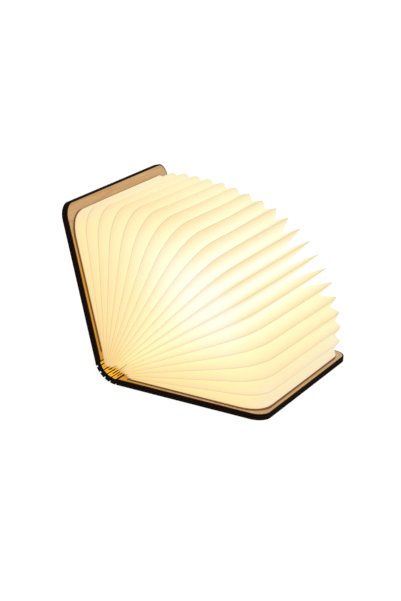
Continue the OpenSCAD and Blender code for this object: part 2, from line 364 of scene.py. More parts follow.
def add_node(tree, kind, inputs=None, stops=None, **settings):
    """Adds a node with its settings, colour stops, and inputs: values, RGB colours or sockets to link."""
    made = tree.nodes.new(kind)
    for key, value in settings.items():
        setattr(made, key, value)
    for i, (at, colour) in enumerate(stops or []):
        elements = made.color_ramp.elements
        element = elements[i] if i < 2 else elements.new(at)
        element.position = at
        element.color = (*colour, 1)
    for key, value in (inputs or {}).items():
        socket = made.inputs[key]
        if isinstance(value, bpy.types.NodeSocket):
            tree.links.new(value, socket)
        else:
            opaque = socket.type == "RGBA" and len(value) == 3
            socket.default_value = (*value, 1) if opaque else value
    return made


def seen_directly(tree):
    """One for camera, glossy and transmission rays, and nothing for the rest."""
    path = add_node(tree, "ShaderNodeLightPath")
    seen = path.outputs["Is Camera Ray"]
    for kind in ("Is Glossy Ray", "Is Transmission Ray"):
        either = {0: seen, 1: path.outputs[kind]}
        seen = add_node(tree, MATH, either, operation="MAXIMUM").outputs[0]
    return seen


# ---- wood and card ------------------------------------------------------------------------------


def board_axes(step):
    """A board's inward normal, the offset of its inner face along it, and its fore-edge direction."""
    turned = carried(step).to_3x3()
    inward = (turned @ Vector((0, 0, 1 if step == 0 else -1))).normalized()
    along = (turned @ Vector((1, 0, 0))).normalized()
    face = carried(step) @ Vector((0, 0, BOARD_T if step == 0 else CLOSED_T - BOARD_T))
    return inward, inward.dot(face), along, along.dot(face)


def grain_noise(tree, vector, across, lengthways, detail):
    """Noise drawn out along Y, as wood grain runs along the spine."""
    stretch = add_node(tree, "ShaderNodeMapping", {"Vector": vector, "Scale": (across, lengthways, across)})
    made = add_node(
        tree,
        "ShaderNodeTexNoise",
        {"Vector": stretch.outputs[0], "Scale": 1.0, "Detail": detail, "Roughness": 0.6},
    )
    return made.outputs["Fac"]


def burn_rim(obj, inward, props):
    """Insets both faces of a board twice, and marks what lies outside as burnt: 1 burnt, 0 bare."""
    activate(obj)
    bpy.ops.object.mode_set(mode="EDIT")
    bpy.ops.mesh.select_mode(type="FACE")
    bpy.ops.mesh.select_all(action="DESELECT")
    bpy.ops.object.mode_set(mode="OBJECT")
    for face in obj.data.polygons:
        face.select = abs(face.normal.dot(inward)) > 0.99
    bpy.ops.object.mode_set(mode="EDIT")
    bpy.ops.mesh.inset(thickness=props.char_w, depth=0)
    bpy.ops.mesh.inset(thickness=props.brown_w, depth=0)
    bpy.ops.object.mode_set(mode="OBJECT")
    burnt = obj.data.attributes.new("burnt", "FLOAT", "POINT")
    for point in burnt.data:
        point.value = 1.0
    for face in obj.data.polygons:
        if face.select:
            for i in face.vertices:
                burnt.data[i].value = 0.0


# How far before the lit length's end the light starts to fade, and how far beyond it the light is gone.
FADE_BEFORE, FADE_AFTER = 30 * MM, 15 * MM
PLIES = 3
# A face counts as a board's or a slat's flat face when its normal lies this squarely.
FLAT_FACE, SLAT_FACE = 0.95, 0.7


def charred_board(name, step, props):
    """Laser-cut birch plywood: straight-grained satin veneer on the faces, golden where the pages light
    it, and matte charred edges and arrises with faint brown glue lines."""
    material, tree = new_material(name)
    inward, face_at, along, spine_at = board_axes(step)
    coords = add_node(tree, "ShaderNodeTexCoord")
    facing = add_node(tree, VECTOR_MATH, {0: coords.outputs["Normal"], 1: inward}, operation="DOT_PRODUCT")
    facing = facing.outputs["Value"]
    place = coords.outputs["Object"]
    streaks = grain_noise(tree, place, 900.0, 26.0, 5.0)
    bands = grain_noise(tree, place, 130.0, 6.0, 2.0)
    grain = add_node(tree, MATH, {0: streaks, 1: bands}, operation="ADD")
    grain = add_node(
        tree, "ShaderNodeMapRange", {"Value": grain.outputs[0], "From Min": 0.7, "From Max": 1.3}
    )
    veneer = {0: grain.outputs[0], 6: props.veneer_dark, 7: props.veneer}
    veneer = add_node(tree, MIX, veneer, data_type="RGBA").outputs[2]
    far = add_node(tree, VECTOR_MATH, {0: place, 1: along}, operation="DOT_PRODUCT")
    far = add_node(tree, MATH, {0: far.outputs["Value"], 1: spine_at}, operation="SUBTRACT")
    lit_end = props.lit_low if step == 0 else props.lit_end
    lit = add_node(
        tree,
        "ShaderNodeMapRange",
        {
            "Value": far.outputs[0],
            "From Min": lit_end - FADE_BEFORE,
            "From Max": lit_end + FADE_AFTER,
            "To Min": 0.95,
            "To Max": 0.0,
        },
    )
    golden = add_node(tree, MIX, {0: 0.1, 6: props.lit, 7: veneer}, data_type="RGBA").outputs[2]
    glowing = add_node(tree, MIX, {0: lit.outputs[0], 6: veneer, 7: golden}, data_type="RGBA").outputs[2]
    level = add_node(tree, VECTOR_MATH, {0: place, 1: inward}, operation="DOT_PRODUCT")
    level = add_node(tree, MATH, {0: level.outputs["Value"], 1: face_at}, operation="SUBTRACT")
    wander = add_node(tree, "ShaderNodeTexNoise", {"Vector": place, "Scale": 90.0, "Detail": 2.0})
    level = add_node(
        tree,
        MATH,
        {0: wander.outputs["Fac"], 1: 0.6 * MM, 2: level.outputs[0]},
        operation="MULTIPLY_ADD",
    )
    half_ply = BOARD_T / (2 * PLIES)
    layers = add_node(tree, MATH, {0: level.outputs[0], 1: half_ply}, operation="PINGPONG")
    glue = add_node(
        tree,
        "ShaderNodeMapRange",
        {"Value": layers.outputs[0], "From Max": 0.3 * MM, "To Min": 0.7, "To Max": 0.0},
    )
    edge = add_node(tree, MIX, {0: glue.outputs[0], 6: props.char, 7: props.ply}, data_type="RGBA").outputs[2]
    squarely = add_node(tree, MATH, {0: facing}, operation="ABSOLUTE")
    flat = add_node(tree, MATH, {0: squarely.outputs[0], 1: FLAT_FACE}, operation="GREATER_THAN").outputs[0]
    burnt = add_node(tree, "ShaderNodeAttribute", attribute_name="burnt")
    left = {0: flat, 1: burnt.outputs["Fac"]}
    bare = add_node(tree, MATH, left, operation="SUBTRACT", use_clamp=True)
    inner = add_node(tree, MATH, {0: facing, 1: FLAT_FACE}, operation="GREATER_THAN").outputs[0]
    face = add_node(tree, MIX, {0: inner, 6: veneer, 7: glowing}, data_type="RGBA").outputs[2]
    colour = add_node(tree, MIX, {0: bare.outputs[0], 6: edge, 7: face}, data_type="RGBA").outputs[2]
    rough = add_node(tree, "ShaderNodeMapRange", {"Value": bare.outputs[0], "To Min": 0.95, "To Max": 0.5})
    shine = add_node(tree, "ShaderNodeMapRange", {"Value": bare.outputs[0], "To Min": 0.03, "To Max": 0.35})
    bump = add_node(tree, "ShaderNodeBump", {"Height": streaks, "Strength": 0.12, "Distance": 0.1 * MM})
    surface = add_node(
        tree,
        "ShaderNodeBsdfPrincipled",
        {
            "Base Color": colour,
            "Roughness": rough.outputs[0],
            "Specular IOR Level": shine.outputs[0],
            "Normal": bump.outputs[0],
        },
    )
    add_node(tree, OUTPUT, {"Surface": surface.outputs[0]})
    return material


def card_and_painted_shade(name, props):
    """Dyed kraft card, calendered: dark brown with short loose fibres and a dull matte face. On the endpapers
    the same colour is painted shade.
    """
    material, tree = new_material(name)
    coords = add_node(tree, "ShaderNodeTexCoord")
    fibres = add_node(
        tree,
        "ShaderNodeTexNoise",
        {"Vector": coords.outputs["Object"], "Scale": 900.0, "Detail": 4.0, "Roughness": 0.7},
    )
    dark = [0.7 * c for c in props.card]
    colour = add_node(
        tree,
        "ShaderNodeValToRGB",
        {"Fac": fibres.outputs["Fac"]},
        stops=[(0.35, dark), (0.65, props.card)],
    )
    surface = add_node(
        tree,
        "ShaderNodeBsdfPrincipled",
        {"Base Color": colour.outputs[0], "Roughness": 0.85},
    )
    add_node(tree, OUTPUT, {"Surface": surface.outputs[0]})
    return material


def spine_wood(name, step, props, covers):
    """The same plywood cut to slats: golden lit veneer inside, plain veneer outside, charred kerf walls,
    kerf lips and end grain."""
    material, tree = new_material(name)
    inward = (on_spine(step).to_3x3() @ Vector((1, 0, 0))).normalized()
    coords = add_node(tree, "ShaderNodeTexCoord")
    facing = add_node(tree, VECTOR_MATH, {0: coords.outputs["Normal"], 1: inward}, operation="DOT_PRODUCT")
    facing = facing.outputs["Value"]
    streaks = grain_noise(tree, coords.outputs["Object"], 900.0, 30.0, 4.0)
    grain = add_node(tree, "ShaderNodeMapRange", {"Value": streaks, "From Min": 0.35, "From Max": 0.6})
    lit = {0: grain.outputs[0], 6: props.lit_wood_dark, 7: props.lit_wood}
    lit = add_node(tree, MIX, lit, data_type="RGBA").outputs[2]
    plain = {0: grain.outputs[0], 6: covers.veneer_dark, 7: covers.veneer}
    plain = add_node(tree, MIX, plain, data_type="RGBA").outputs[2]
    both = add_node(tree, MATH, {0: facing}, operation="ABSOLUTE").outputs[0]
    flat = add_node(tree, MATH, {0: both, 1: SLAT_FACE}, operation="GREATER_THAN").outputs[0]
    colour = add_node(tree, MIX, {0: flat, 6: covers.char, 7: plain}, data_type="RGBA").outputs[2]
    inner = add_node(tree, MATH, {0: facing, 1: SLAT_FACE}, operation="GREATER_THAN").outputs[0]
    if step % 2 == 0:
        centre = on_spine(step).translation
        tangent = (on_spine(step).to_3x3() @ Vector((0, 0, 1))).normalized()
        across = {0: coords.outputs["Object"], 1: tangent}
        across = add_node(tree, VECTOR_MATH, across, operation="DOT_PRODUCT")
        middle = {0: across.outputs["Value"], 1: centre.dot(tangent)}
        across = add_node(tree, MATH, middle, operation="SUBTRACT")
        across = add_node(tree, MATH, {0: across.outputs[0]}, operation="ABSOLUTE")
        lip = {0: across.outputs[0], 1: SLAT_W / 2 - covers.brown_w / 2}
        lip = add_node(tree, MATH, lip, operation="GREATER_THAN").outputs[0]
        left = {0: inner, 1: lip}
        inner = add_node(tree, MATH, left, operation="SUBTRACT", use_clamp=True).outputs[0]
        colour = add_node(tree, MIX, {0: lip, 6: colour, 7: covers.char}, data_type="RGBA").outputs[2]
    colour = add_node(tree, MIX, {0: inner, 6: colour, 7: lit}, data_type="RGBA").outputs[2]
    glow = add_node(tree, MATH, {0: inner, 1: 0.25}, operation="MULTIPLY")
    surface = add_node(
        tree,
        "ShaderNodeBsdfPrincipled",
        {
            "Base Color": colour,
            "Roughness": 0.8,
            "Specular IOR Level": 0.1,
            "Emission Color": lit,
            "Emission Strength": glow.outputs[0],
        },
    )
    add_node(tree, OUTPUT, {"Surface": surface.outputs[0]})
    return material


def painted_shade_cloth(name, props):
    """Black sheet of painted shade behind the slots, where the open slots would show only shadow: matte, with
    a fine plain weave.
    """
    material, tree = new_material(name)
    coords = add_node(tree, "ShaderNodeTexCoord")
    weave = add_node(
        tree,
        "ShaderNodeTexWave",
        {"Vector": coords.outputs["Object"], "Scale": 900.0, "Distortion": 1.0, "Detail": 1.0},
        bands_direction="Y",
    )
    dark = [0.6 * c for c in props.cloth]
    shade = {0: weave.outputs["Fac"], 6: dark, 7: props.cloth}
    shade = add_node(tree, MIX, shade, data_type="RGBA").outputs[2]
    surface = add_node(
        tree,
        "ShaderNodeBsdfPrincipled",
        {"Base Color": shade, "Roughness": 0.95, "Specular IOR Level": 0.05},
    )
    add_node(tree, OUTPUT, {"Surface": surface.outputs[0]})
    return material


# ---- paper --------------------------------------------------------------------------------------


# How much of the shade is gone a third of the way into a flank, and how much of all shade the
# brightest paper hides.
FLANK_LIFT, VEIL = 0.65, 0.3
WHITE = (1, 1, 1)


def page_paper(name, props):
    """Pleated spun-fibre paper, lit from inside with painted light: nearly white deep in the folds nearest
    the light, cream further out, tan towards each doubled ridge, partly from the doubled paper and partly
    painted shade, golden at the roots, with a faint cloudy fibre pattern."""
    material, tree = new_material(name)
    fold = add_node(tree, "ShaderNodeAttribute", attribute_name="fold")
    light = add_node(tree, "ShaderNodeAttribute", attribute_name="light")
    coords = add_node(tree, "ShaderNodeTexCoord")
    warmth = add_node(
        tree,
        "ShaderNodeValToRGB",
        {"Fac": light.outputs["Fac"]},
        stops=[(0.0, props.gold), (1.0, props.hot), (0.28, props.warm), (0.62, props.bright)],
    )
    fading = [(1 - FLANK_LIFT) * c + FLANK_LIFT for c in props.shade]
    kept = add_node(
        tree,
        "ShaderNodeValToRGB",
        {"Fac": fold.outputs["Fac"]},
        stops=[(0.018, props.ridge), (0.75, WHITE), (0.045, props.shade), (0.35, fading)],
    )
    veil = add_node(tree, MATH, {0: light.outputs["Fac"], 1: VEIL}, operation="MULTIPLY")
    kept = {0: veil.outputs[0], 6: kept.outputs[0], 7: WHITE}
    kept = add_node(tree, MIX, kept, data_type="RGBA").outputs[2]
    shaded = {0: 1.0, 6: warmth.outputs[0], 7: kept}
    shaded = add_node(tree, MIX, shaded, data_type="RGBA", blend_type="MULTIPLY").outputs[2]
    outer = add_node(tree, "ShaderNodeAttribute", attribute_name="outer")
    shaded = {0: outer.outputs["Fac"], 6: shaded, 7: props.pale}
    shaded = add_node(tree, MIX, shaded, data_type="RGBA").outputs[2]
    fibres = add_node(
        tree,
        "ShaderNodeTexNoise",
        {"Vector": coords.outputs["Object"], "Scale": 260.0, "Detail": 6.0, "Roughness": 0.65},
    )
    cloud = add_node(
        tree,
        "ShaderNodeMapRange",
        {"Value": fibres.outputs["Fac"], "From Min": 0.3, "From Max": 0.7, "To Min": 0.965, "To Max": 1.0},
    )
    colour = {0: 1.0, 6: shaded, 7: cloud.outputs[0]}
    colour = add_node(tree, MIX, colour, data_type="RGBA", blend_type="MULTIPLY").outputs[2]
    half = add_node(tree, MIX, {0: 0.5, 6: colour, 7: WHITE}, data_type="RGBA").outputs[2]
    given = {0: 1.0, 6: (props.white,) * 3, 7: half}
    given = add_node(tree, MIX, given, data_type="RGBA", blend_type="MULTIPLY").outputs[2]
    bump = add_node(
        tree,
        "ShaderNodeBump",
        {"Height": fibres.outputs["Fac"], "Strength": 0.08, "Distance": 0.1 * MM},
    )
    surface = add_node(
        tree,
        "ShaderNodeBsdfPrincipled",
        {
            "Base Color": given,
            "Roughness": 0.9,
            "Specular IOR Level": 0.1,
            "Normal": bump.outputs[0],
            "Emission Color": colour,
            "Emission Strength": props.glow,
        },
    )
    add_node(tree, OUTPUT, {"Surface": surface.outputs[0]})
    return material


def ease(value, low, high):
    """A smooth step from 0 to 1 between two values."""
    t = min(1.0, max(0.0, (value - low) / (high - low)))
    return t * t * (3 - 2 * t)


def stray(step, at):
    """A small even wander, from -1 to 1, that differs from fold to fold."""
    return math.sin(7.3 * step + 9.1 * at) * math.sin(2.9 * step - 5.3 * at + 1.0)


# Where in the fan the roots come nearest the spine, and how sharply they close in.
ROOT_NEAREST = 0.8
ROOT_CURVE = 1.5


def root_x(step, props, tail=False):
    """How far from the boards' spine end that fold begins: the pages' roots crowd to the top cover, and
    at the tail they clear the charging socket."""
    away = abs(1 - step / GAPS / ROOT_NEAREST) ** ROOT_CURVE
    root = props.high_root + (props.low_root - props.high_root) * away
    return max(root, props.socket_root) if tail else root


# Points of a fold line along its side, round its corner and down to its middle.
STRAIGHT, TURN, FORE = 14, 12, 6
# The least corner radius, and the share of a valley's depth that its corner loses.
LEAST_CORNER = 2 * MM
CORNER_LOSS = 0.4


def fold_line(step, depths, props):
    """The points of a fold line in the closed book's X and Y, from its head root to its tail root. depths
    are how far a valley lies inside the leaves' outer edges at the head and at the tail."""
    share = step / GAPS
    whole = int(step)
    reach = leaf_reach(whole)
    if step > whole:
        reach = (reach + leaf_reach(whole + 1)) / 2
    middle = math.sin(math.pi * share)
    upper = ease(share, 0.45, 0.7) * ease(1 - share, 0.03, 0.2)
    lower = ease(share, 0.0, 0.12) * ease(1 - share, 0.45, 0.65)
    head_r = props.cover_r + (props.head_r - props.cover_r) * middle
    tail_r = props.tail_r + (props.tail_up_r - props.tail_r) * upper
    tail_reach = reach - props.tail_slip * upper + props.tail_out * lower
    halves = []
    for radius, near, far, depth in (
        (head_r, root_x(step, props), reach, depths[0]),
        (tail_r, root_x(step, props, True), tail_reach, depths[1]),
    ):
        radius = max(LEAST_CORNER, radius - CORNER_LOSS * depth)
        # The fold by the top cover hangs out to its endpaper's fore-edge, so no band of painted shade shows
        # there.
        far -= 0.0 if step == GAPS else depth
        side = PAGE_Y - depth
        half = []
        for n in range(STRAIGHT):
            corner = ease(n / STRAIGHT, 0.5, 1.0)
            y = PAGE_Y - depths[0] + (depths[0] - depth) * corner
            half.append((near + (far - radius - near) * n / STRAIGHT, y))
        for n in range(TURN):
            t = n / TURN
            half.append((far - radius * (1 - t) ** 2, side - radius * t * t))
        for n in range(FORE):
            half.append((far, (side - radius) * (1 - n / FORE)))
        halves.append(half)
    head = [(x, -y) for x, y in halves[0]]
    middle_x = (halves[0][-1][0] + halves[1][-1][0]) / 2
    for half in (head, halves[1]):
        for n in range(FORE):
            x, y = half[-1 - n]
            half[-1 - n] = (x + (middle_x - x) * (1 - (n + 1) / (FORE + 1)), y)
    return head + [(middle_x, 0.0)] + halves[1][::-1]


# Where in the fan the tail valleys are deepest, and over what share they get shallow on each side.
DEEP_AT, DEEP_BELOW, DEEP_ABOVE = 0.33, 0.1, 0.14
# The same for the light, which falls off faster below its brightest fold.
LIT_AT, LIT_SPREAD, LIT_FALL_BELOW = 0.4, 0.4, 2.5
# The least light on the paper, and what it gains just off the roots and further out.
LEAST_LIGHT, ROOT_GAIN, OUTER_GAIN = 0.24, 0.1, 0.75
# How pale the outer corners get, and how faint the ridges get at the upper tail.
PALEST, FAINTEST = 0.55, 0.35


def valley_deepness(step):
    """How deep the tail valleys are at a step of the fan: 1 at the deepest, towards 0 by the covers."""
    off = step - DEEP_AT * GAPS
    return math.exp(-((off / (DEEP_BELOW * GAPS if off < 0 else DEEP_ABOVE * GAPS)) ** 2))


def paper_light(share, x):
    """How brightly the paper is lit at a share of the fan and of the boards' width from the spine."""
    off = (share - LIT_AT) / LIT_SPREAD
    near = (0.38 * ease(x, 0.03, 0.3) + 0.62 * ease(x, 0.25, 0.8)) * (1 - 0.65 * ease(x, 0.82, 1.0))
    spread = math.exp(-(LIT_FALL_BELOW if off < 0 else 1.0) * off * off)
    return LEAST_LIGHT + ROOT_GAIN * ease(x, 0.0, 0.14) + OUTER_GAIN * near * spread


def point_values(obj, name):
    """A new attribute that holds one value for each point."""
    return obj.data.attributes.new(name, "FLOAT", "POINT")


def pleat(step, props, paper):
    """One pleat, from a leaf's ridge down to the valley and up to the next leaf's ridge."""
    tail_d = props.fold_tail + (props.fold_mid - props.fold_tail) * valley_deepness(step + 0.5)
    half_turn = math.radians(frame["joints"][step]["range_deg"][0]) / 2
    axis = Vector(frame["joints"][step]["pos_m"])
    on_axis = Matrix.Translation(axis)
    lower, upper = carried(step), carried(step + 1)
    between = on_axis @ Matrix.Rotation(half_turn, 4, "Y") @ on_axis.inverted() @ lower
    between_z = (leaf_z(step) + leaf_z(step + 1)) / 2
    # Each row: its fold line, the body's place it is laid on and its height there. The outermost fold lines
    # lie inside the endpapers that they are glued to, and leave a band of them bare, whose dark colour is
    # painted shade.
    low_d, high_d = (props.painted_shade_band if n in (0, GAPS) else 0.0 for n in (step, step + 1))
    rows = [
        (fold_line(step, (low_d, low_d), props), lower, leaf_z(step)),
        (fold_line(step + 0.5, (props.fold_d, tail_d), props), between, between_z),
        (fold_line(step + 1, (high_d, high_d), props), upper, leaf_z(step + 1)),
    ]
    last = len(rows[0][0]) - 1

    def lay(column, row):
        line, place, height = rows[row]
        x, y = line[column]
        drift = props.waver * stray(step + row / 2, column / last)
        return place @ Vector((x + drift, y, height))

    obj = sheet_grid(f"page_pleat_{step:02d}", last, 2, lay)
    fold, light, outer = (point_values(obj, name) for name in ("fold", "light", "outer"))
    for i in range(len(obj.data.vertices)):
        column, row = i % (last + 1), i // (last + 1)
        x = rows[row][0][column][0] / BOARD_W
        share = (step + row / 2) / GAPS
        faint = FAINTEST * ease(share, 0.6, 0.95) * ease(column / last, 0.35, 0.6)
        fold.data[i].value = max(row % 2, faint)
        light.data[i].value = paper_light(share, x)
        outer.data[i].value = PALEST * ease(x, 0.86, 1.0) * ease(abs(share - 0.5), 0.36, 0.5)
    normal = (between.to_3x3() @ Vector((0, 0, 1))).normalized()
    on_plane = between @ Vector((0, 0, between_z))
    apply_modifier(obj, "SOLIDIFY", thickness=SHEET_T, offset=0)
    # The valley's points are laid flat on the plane halfway between its two bodies.
    for v in obj.data.vertices:
        off = (v.co - on_plane).dot(normal)
        if abs(off) < SHEET_T:
            v.co -= off * normal
    paint(obj, paper)
    smooth(obj, 12)
    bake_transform(obj)


# How far a tab's foot lies off the wood, its start inside the leaf, and its middle off a straight line.
TAB_LIFT, TAB_OVERLAP, TAB_BOW = 0.3 * MM, 1 * MM, 1.2 * MM
TAB_SEGMENTS = 8
# A tab is coloured as paper near its valley, with almost no light on it.
TAB_FOLD, TAB_LIGHT = 0.4, 0.05


def root_tabs(step, props, paper):
    """The two tabs that tie a leaf to its place on the spine: they leave the leaf flat and bend down to
    the wood."""
    closed, turn = spine_place(step, math.pi)
    inward = Vector((math.sin(turn), 0, math.cos(turn)))
    foot = closed + (BOARD_T / 2 + TAB_LIFT) * inward
    place = carried(step)
    inner = PAGE_Y - props.fold_d
    made = []
    for side in (-1, 1):
        start = Vector((root_x(step, props, side > 0) + TAB_OVERLAP, 0, leaf_z(step)))
        bend = (start + foot) / 2 + TAB_BOW * inward

        def lay(column, row, side=side, start=start, bend=bend):
            t = column / TAB_SEGMENTS
            curve = (1 - t) ** 2 * start + 2 * t * (1 - t) * bend + t * t * foot
            return place @ (curve + Vector((0, side * (inner + props.tab_w * row / 2), 0)))

        obj = sheet_grid(f"page_tab_{step:02d}", TAB_SEGMENTS, 2, lay)
        fold, light = (point_values(obj, name) for name in ("fold", "light"))
        for i in range(len(obj.data.vertices)):
            fold.data[i].value = TAB_FOLD
            light.data[i].value = TAB_LIGHT
        apply_modifier(obj, "SOLIDIFY", thickness=SHEET_T, offset=0)
        made.append(obj)
    obj = joined(made, f"page_tabs_{step:02d}")
    smooth(obj, 40)
    paint(obj, paper)
    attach(obj, body_name(step))
    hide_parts(leaf_node(step))


# ---- spine --------------------------------------------------------------------------------------


def bridge_places(row, props):
    """The middles of the bridges across a kerf row: odd rows leave their ends open."""
    count = props.web_count
    end = (COVER_H - props.web_l) / 2
    if row % 2:
        return [(n - (count - 1) / 2) * COVER_H / count for n in range(count)]
    return [max(-end, min(end, (n - count / 2) * COVER_H / count)) for n in range(count + 1)]


# How far the bridges stay inside the boards' faces, and the dark sheet of painted shade inside their ends.
BRIDGE_INSET = 0.05 * MM
SHADE_LINING_INSET = 0.2 * MM


def spine_bridges(row, half, props, wood, cloth):
    """The wooden bridges across one kerf slot and the dark sheet of painted shade behind it, from a slat's
    wall to mid-slot.
    """
    web_step = 2 * row - 1
    slat_step = web_step + half
    web, slat = on_spine(web_step), on_spine(slat_step)
    wall = -half * SLAT_W / 2
    deep = BOARD_T / 2 - BRIDGE_INSET
    pieces = [(-deep, deep, y, props.web_l / 2, wood) for y in bridge_places(row, props)]
    # A dark sheet of painted shade across the slot, below mid-board.
    shade_lining = -props.shade_lining_x - props.shade_lining_t / 2
    pieces.append((shade_lining, shade_lining + props.shade_lining_t, 0.0, COVER_H / 2 - SHADE_LINING_INSET, cloth))
    made = []
    for low, high, y, half_y, material in pieces:
        clear_selection()
        bpy.ops.mesh.primitive_cube_add(size=1)
        obj = bpy.context.object
        for v in obj.data.vertices:
            through = high if v.co.x > 0 else low
            across = y + math.copysign(half_y, v.co.y)
            if v.co.z > 0:
                v.co = slat @ Vector((through, across, wall))
            else:
                v.co = web @ Vector((through, across, 0))
        paint(obj, material)
        activate(obj)
        bpy.ops.object.mode_set(mode="EDIT")
        bpy.ops.mesh.select_all(action="SELECT")
        bpy.ops.mesh.normals_make_consistent(inside=False)
        bpy.ops.object.mode_set(mode="OBJECT")
        made.append(obj)
    obj = joined(made, f"spine_bridge_{row:02d}_{'low' if half < 0 else 'high'}")
    at_slat, at_web = slat @ Vector((0, 0, wall)), web @ Vector((0, 0, 0))
    bodies = [body_name(slat_step), body_name(web_step)]
    ends = [at_slat, at_web]
    if half > 0:
        bodies.reverse()
        ends.reverse()
    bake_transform(obj)
    return obj


# ---- light bar and small parts ------------------------------------------------------------------


def moulded_plastic(name, colour, rough, grit_mm, glow=0.0):
    """Injection-moulded ABS or polycarbonate: even colour with a fine spark-eroded grain."""
    material, tree = new_material(name)
    coords = add_node(tree, "ShaderNodeTexCoord")
    grit = add_node(
        tree,
        "ShaderNodeTexNoise",
        {"Vector": coords.outputs["Object"], "Scale": 1 / (grit_mm * MM), "Detail": 2.0},
    )
    shade = add_node(
        tree,
        "ShaderNodeValToRGB",
        {"Fac": grit.outputs["Fac"]},
        stops=[(0.3, [0.93 * c for c in hex_rgb(colour)]), (0.7, hex_rgb(colour))],
    )
    bump = add_node(
        tree,
        "ShaderNodeBump",
        {"Height": grit.outputs["Fac"], "Strength": 0.15, "Distance": 0.05 * MM},
    )
    surface = add_node(
        tree,
        "ShaderNodeBsdfPrincipled",
        {
            "Base Color": shade.outputs[0],
            "Roughness": rough,
            "Normal": bump.outputs[0],
            "Emission Color": (*hex_rgb(colour), 1),
            "Emission Strength": glow,
        },
    )
    add_node(tree, OUTPUT, {"Surface": surface.outputs[0]})
    return material


def plated_metal(name, colour, rough, brush_mm):
    """Nickel-plated or tinned metal: bright, with faint drawn lines that dull the highlight."""
    material, tree = new_material(name)
    coords = add_node(tree, "ShaderNodeTexCoord")
    along = add_node(
        tree,
        "ShaderNodeMapping",
        {"Vector": coords.outputs["Object"], "Scale": (1 / (brush_mm * MM), 40, 1 / (brush_mm * MM))},
    )
    lines = add_node(tree, "ShaderNodeTexNoise", {"Vector": along.outputs[0], "Scale": 1.0, "Detail": 3.0})
    dull = add_node(
        tree,
        "ShaderNodeMapRange",
        {"Value": lines.outputs["Fac"], "To Min": rough * 0.8, "To Max": rough * 1.3},
    )
    surface = add_node(
        tree,
        "ShaderNodeBsdfPrincipled",
        {"Base Color": (*hex_rgb(colour), 1), "Metallic": 1.0, "Roughness": dull.outputs[0]},
    )
    add_node(tree, OUTPUT, {"Surface": surface.outputs[0]})
    return material


def circuit_mask(name, colour, trace):
    """Solder mask over etched copper: glossy, with slightly raised tracks that show paler through it."""
    material, tree = new_material(name)
    coords = add_node(tree, "ShaderNodeTexCoord")
    tracks = add_node(
        tree,
        "ShaderNodeTexBrick",
        {
            "Vector": coords.outputs["Object"],
            "Color1": (*hex_rgb(colour), 1),
            "Color2": (*[0.85 * c for c in hex_rgb(colour)], 1),
            "Mortar": (*hex_rgb(trace), 1),
            "Scale": 260.0,
            "Mortar Size": 0.04,
        },
    )
    surface = add_node(
        tree,
        "ShaderNodeBsdfPrincipled",
        {"Base Color": tracks.outputs["Color"], "Roughness": 0.3},
    )
    add_node(tree, OUTPUT, {"Surface": surface.outputs[0]})
    return material


# ---- operators ----------------------------------------------------------------------------------


class BOOKLAMP_OT_covers(bpy.types.Operator):
    """Makes the two chamfered plywood covers and their card liners"""

    bl_idname = "booklamp.covers"
    bl_label = "Covers"

    def execute(self, context):
        props = context.scene.booklamp_covers
        for node, step in (("bottom_cover", 0), ("top_cover", GAPS)):
            obj = clean_copy(node, f"{node}_board")
            apply_modifier(
                obj,
                "BEVEL",
                width=props.edge_chamfer,
                segments=1,
                limit_method="ANGLE",
                angle_limit=math.radians(50),
            )
            burn_rim(obj, board_axes(step)[0], props)
            paint(obj, charred_board(f"birch plywood, charred, {node}", step, props))
            smooth(obj, 20)
            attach(obj, node)
            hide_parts(node)
        card = card_and_painted_shade("dyed kraft card", props)
        for node in ("bottom_liner", "top_liner"):
            paint(frame["nodes"][node], card)
        return {"FINISHED"}


class BOOKLAMP_OT_spine(bpy.types.Operator):
    """Makes the kerf-cut spine: dresses its slats and adds the bridges across the slots"""

    bl_idname = "booklamp.spine"
    bl_label = "Spine"

    def execute(self, context):
        props = context.scene.booklamp_spine
        covers = context.scene.booklamp_covers
        for step in range(2, GAPS, 2):
            wood = spine_wood(f"plywood slat {step // 2}", step, props, covers)
            paint(frame["nodes"][f"spine_slat_{step // 2:02d}"], wood)
        # A dark sheet across the slots paints the shade that they would show.
        cloth = painted_shade_cloth("black book cloth", props)
        for row in range(1, ROWS + 1):
            wood = spine_wood(f"plywood bridge {row}", 2 * row - 1, props, covers)
            low = spine_bridges(row, -1, props, wood, cloth)
            spine_bridges(row, 1, props, wood, cloth)
            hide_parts(f"spine_web_{row:02d}")
        return {"FINISHED"}


class BOOKLAMP_OT_pages(bpy.types.Operator):
    """Folds the page pleats between the leaves and adds their root tabs"""

    bl_idname = "booklamp.pages"
    bl_label = "Pages"

    def execute(self, context):
        props = context.scene.booklamp_pages
        paper = page_paper("pleated spun-fibre paper", props)
        for step in range(GAPS):
            pleat(step, props, paper)
        for step in range(1, GAPS):
            root_tabs(step, props, paper)
        # The endpapers are paper, but they take the dark card colour: painted shade in the band that the
        # sheet's outer folds leave bare.
        card = card_and_painted_shade("dark card colour painted as shade under the sheet's ends", context.scene.booklamp_covers)
        for node in ("bottom_endpaper", "top_endpaper"):
            paint(frame["nodes"][node], card)
        return {"FINISHED"}


